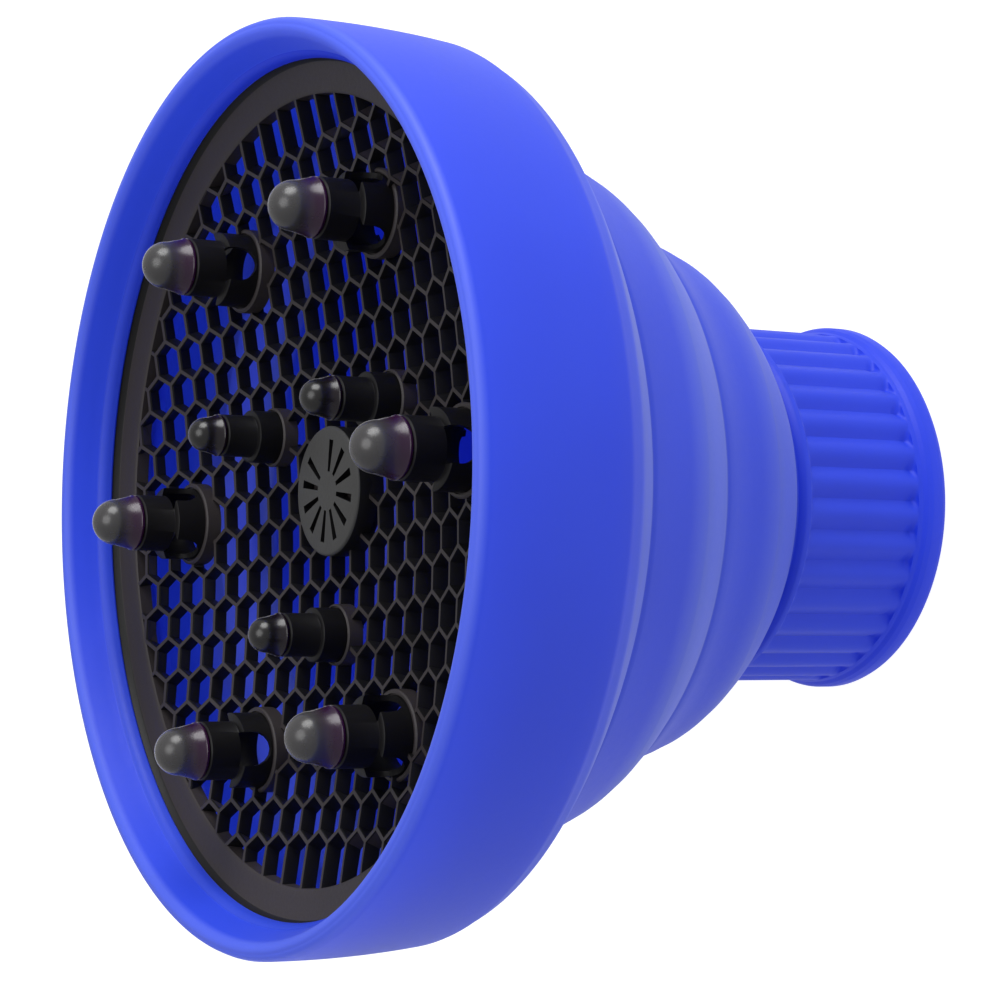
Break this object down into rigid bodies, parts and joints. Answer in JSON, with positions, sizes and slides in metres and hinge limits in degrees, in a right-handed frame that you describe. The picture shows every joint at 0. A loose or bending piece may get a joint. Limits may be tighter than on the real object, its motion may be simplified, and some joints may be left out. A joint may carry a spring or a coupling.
{
  "type": "dryer diffuser",
  "caption": "Folding silicone diffuser bell in stepped tiers on a fluted collar, with a dished honeycomb plate carrying windowed fingers with smoky domed caps.",
  "frame": {"origin": "centre of the collar's flat end face, which is the lowest face", "axes": "+Z along the bell's axis from the collar towards the fingers; +X runs through the first outer finger"},
  "size_m": [0.1498, 0.1498, 0.1248],
  "materials": {
    "silicone": "satin blue silicone",
    "silicone_web": "satin blue silicone, thin and slightly paler",
    "plate": "matte black",
    "plate_fittings": "satin black",
    "smoky_caps": "smoky translucent, polished"
  },
  "bodies": {
    "collar_body": {"collar": "silicone", "fold_web_3": "silicone_web"},
    "tier_3_body": {"tier_3": "silicone", "fold_web_2": "silicone_web"},
    "tier_2_body": {"tier_2": "silicone", "fold_web_1": "silicone_web"},
    "head": {"tier_1": "silicone", "honeycomb_plate": "plate", "centre_disc": "plate_fittings", "outer_finger_1": "plate_fittings", "outer_finger_2": "plate_fittings", "outer_finger_3": "plate_fittings", "outer_finger_4": "plate_fittings", "outer_finger_5": "plate_fittings", "outer_finger_6": "plate_fittings", "outer_cap_1": "smoky_caps", "outer_cap_2": "smoky_caps", "outer_cap_3": "smoky_caps", "outer_cap_4": "smoky_caps", "outer_cap_5": "smoky_caps", "outer_cap_6": "smoky_caps", "inner_finger_1": "plate_fittings", "inner_finger_2": "plate_fittings", "inner_finger_3": "plate_fittings", "inner_cap_1": "smoky_caps", "inner_cap_2": "smoky_caps", "inner_cap_3": "smoky_caps"}
  },
  "joints": [
    {"name": "fold_3", "type": "slide", "parent": "collar_body", "child": "tier_3_body", "axis": [0, 0, -1], "range_m": [0, 0.02], "deforming": ["fold_web_3"]},
    {"name": "fold_2", "type": "slide", "parent": "tier_3_body", "child": "tier_2_body", "axis": [0, 0, -1], "range_m": [0, 0.019], "deforming": ["fold_web_2"]},
    {"name": "fold_1", "type": "slide", "parent": "tier_2_body", "child": "head", "axis": [0, 0, -1], "range_m": [0, 0.018], "deforming": ["fold_web_1"]}
  ]
}
